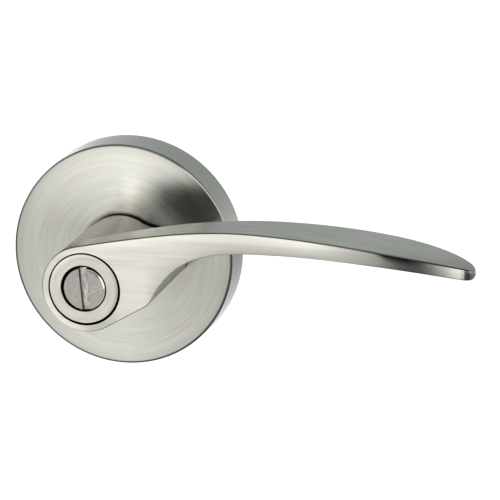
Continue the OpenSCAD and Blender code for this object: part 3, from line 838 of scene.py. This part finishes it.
class HANDLE_OT_mechanism(bpy.types.Operator):
    """Gives each part of the mechanism its own worked metal or moulded finish"""

    bl_idname = "handle.mechanism"
    bl_label = "Mechanism"

    def execute(self, context):
        colours = context.scene.handle_finish
        plated = worked_metal("zinc_plated_steel", colours.steel, 0.32, 900)
        black = worked_metal("blackened_steel", (0.16, 0.16, 0.17), 0.42, 1200, mottle=0.2)
        spring = worked_metal("oiled_spring_steel", (0.35, 0.36, 0.38), 0.28, 1400, (1, 0.2, 1))
        cast = worked_metal("cast_zinc", (0.50, 0.51, 0.52), 0.48, 1600, mottle=0.08)
        drawn = worked_metal("drawn_steel", (0.58, 0.585, 0.59), 0.3, 2200, (1, 0.04, 1), 0.08)
        nylon = worked_metal("natural_nylon", (0.85, 0.84, 0.78), 0.45, 700, mottle=0.03, metallic=0.0)
        hidden = {
            plated: ["spring_cage"],
            black: ["button_clip", "lever_set_screw"],
            spring: ["return_spring", "spring_washer", "button_washer", "rose_clips"],
            cast: ["drive_cam"],
            nylon: ["neck_bushing", "thrust_washer"],
        }
        for material, names in hidden.items():
            for name in names:
                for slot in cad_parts[name].material_slots:
                    slot.material = material
        for node, body, slot, material, width in (
            ("mounting_plate", "base", "plated_steel", plated, 0.2),
            ("mounting_posts", "base", "plated_steel", drawn, 0.3),
            ("cage_screws", "base", "plated_steel", plated, 0.12),
            ("clip_rivets", "base", "plated_steel", plated, 0.15),
            ("stop_pins", "base", "dark_steel", black, 0.15),
            ("retaining_ring", "lever_set", "dark_steel", black, 0.1),
            ("drive_sleeve", "lever_set", "plated_steel", plated, 0.2),
            ("spindle", "lever_set", "plated_steel", drawn, 0.4),
            ("turn_bar", "button_set", "plated_steel", drawn, 0.2),
        ):
            softened(node, body, material, width)
        return {"FINISHED"}


class HANDLE_OT_stage(bpy.types.Operator):
    """Lays the floor and sets the soft light, the surroundings and the camera"""

    bl_idname = "handle.stage"
    bl_label = "Stage"

    def execute(self, context):
        scene, stage = context.scene, context.scene.handle_stage
        scene.view_settings.view_transform = "Standard"
        half, low = 8000, -150
        floor = block("floor", (-half, half), (low - 20, low), (-half, half))
        net = Net(bpy.data.materials.new("pale_floor"))
        x, y, _ = net.place()
        away = (x * x + y * y).math("SQRT")
        # Painted shade: the floor is darker towards both sides in x
        side = net.remap(x.math("ABSOLUTE") / (away + 0.001), 0.5, 0.92) * net.remap(away, 0.1, 0.45)
        net.surface(Base_Color=net.mix(side, stage.floor, [c * 0.42 for c in stage.floor]), Roughness=0.9)
        floor.data.materials.append(bpy.data.materials["pale_floor"])

        world = bpy.data.worlds.new("surroundings")
        scene.world = world
        net = Net(world)
        _, inwards, height = net.place(coordinates=0)
        behind = net.node("ShaderNodeValToRGB", {"stops": [
            (0.0, (0.5, 0.51, 0.51)), (0.12, (0.36, 0.38, 0.38)), (0.27, (0.285, 0.31, 0.31)),
            (0.45, (0.22, 0.235, 0.24)), (0.8, (0.16, 0.17, 0.175)), (1.0, (0.42, 0.43, 0.43))]}, {0: height})
        front = net.node("ShaderNodeValToRGB", {"stops": [
            (0.0, (0.7, 0.7, 0.69)), (0.12, (0.9, 0.9, 0.88)), (0.28, (0.85, 0.85, 0.83)),
            (0.45, (0.2, 0.2, 0.2)), (0.6, (0.09, 0.09, 0.095)), (0.8, (0.12, 0.12, 0.125)),
            (1.0, (0.42, 0.42, 0.42))]}, {0: height})
        sky = net.mix(net.remap(inwards, -0.3, 0.3), front, behind)
        back = net.node("ShaderNodeBackground", {}, {"Color": sky, "Strength": stage.sky})
        net.node("ShaderNodeOutputWorld", {}, {"Surface": back})

        lamp = bpy.data.lights.new("overhead", "SUN")
        lamp.energy, lamp.angle = stage.overhead, np.radians(70)
        light = bpy.data.objects.new("overhead", lamp)
        light.rotation_euler = (np.radians(28), 0, np.radians(-35))
        light.visible_glossy = False
        scene.collection.objects.link(light)

        view = bpy.data.cameras.new("camera")
        view.lens, view.sensor_width = 158.4, 36
        view.clip_start, view.clip_end = 0.01, 50
        camera = bpy.data.objects.new("camera", view)
        right, up, behind = (0.9728, 0.2316, 0), (-0.0601, 0.2524, 0.9657), (0.2237, -0.9395, 0.2595)
        axes = Matrix((right, up, behind)).transposed().to_4x4()
        camera.matrix_world = Matrix.Translation((0.1802, -0.6076, 0.1685)) @ axes
        scene.collection.objects.link(camera)
        scene.camera = camera
        return {"FINISHED"}


class HANDLE_PT_parts(bpy.types.Panel):
    """Lists the handle's pieces and settings"""

    bl_label = "Door lever handle"
    bl_idname = "HANDLE_PT_parts"
    bl_space_type = "VIEW_3D"
    bl_region_type = "UI"
    bl_category = "Handle"

    def draw(self, context):
        for group in (context.scene.handle_sizes, context.scene.handle_finish, context.scene.handle_stage):
            box = self.layout.box()
            for name in group.__annotations__:
                box.prop(group, name)
        for operator in OPERATORS:
            self.layout.operator(operator.bl_idname)


OPERATORS = (
    HANDLE_OT_lever, HANDLE_OT_rose, HANDLE_OT_trim_ring, HANDLE_OT_button, HANDLE_OT_mechanism,
    HANDLE_OT_stage)
GROUPS = {"handle_sizes": HandleSizes, "handle_finish": HandleFinish, "handle_stage": HandleStage}
CLASSES = (*GROUPS.values(), *OPERATORS, HANDLE_PT_parts)


def register():
    for item in CLASSES:
        bpy.utils.register_class(item)
    for name, group in GROUPS.items():
        setattr(bpy.types.Scene, name, PointerProperty(type=group))


def unregister():
    for name in GROUPS:
        delattr(bpy.types.Scene, name)
    for item in reversed(CLASSES):
        bpy.utils.unregister_class(item)


def main():
    register()
    for operator in OPERATORS:
        group, action = operator.bl_idname.split(".")
        getattr(getattr(bpy.ops, group), action)()


if __name__ == "__main__":
    main()
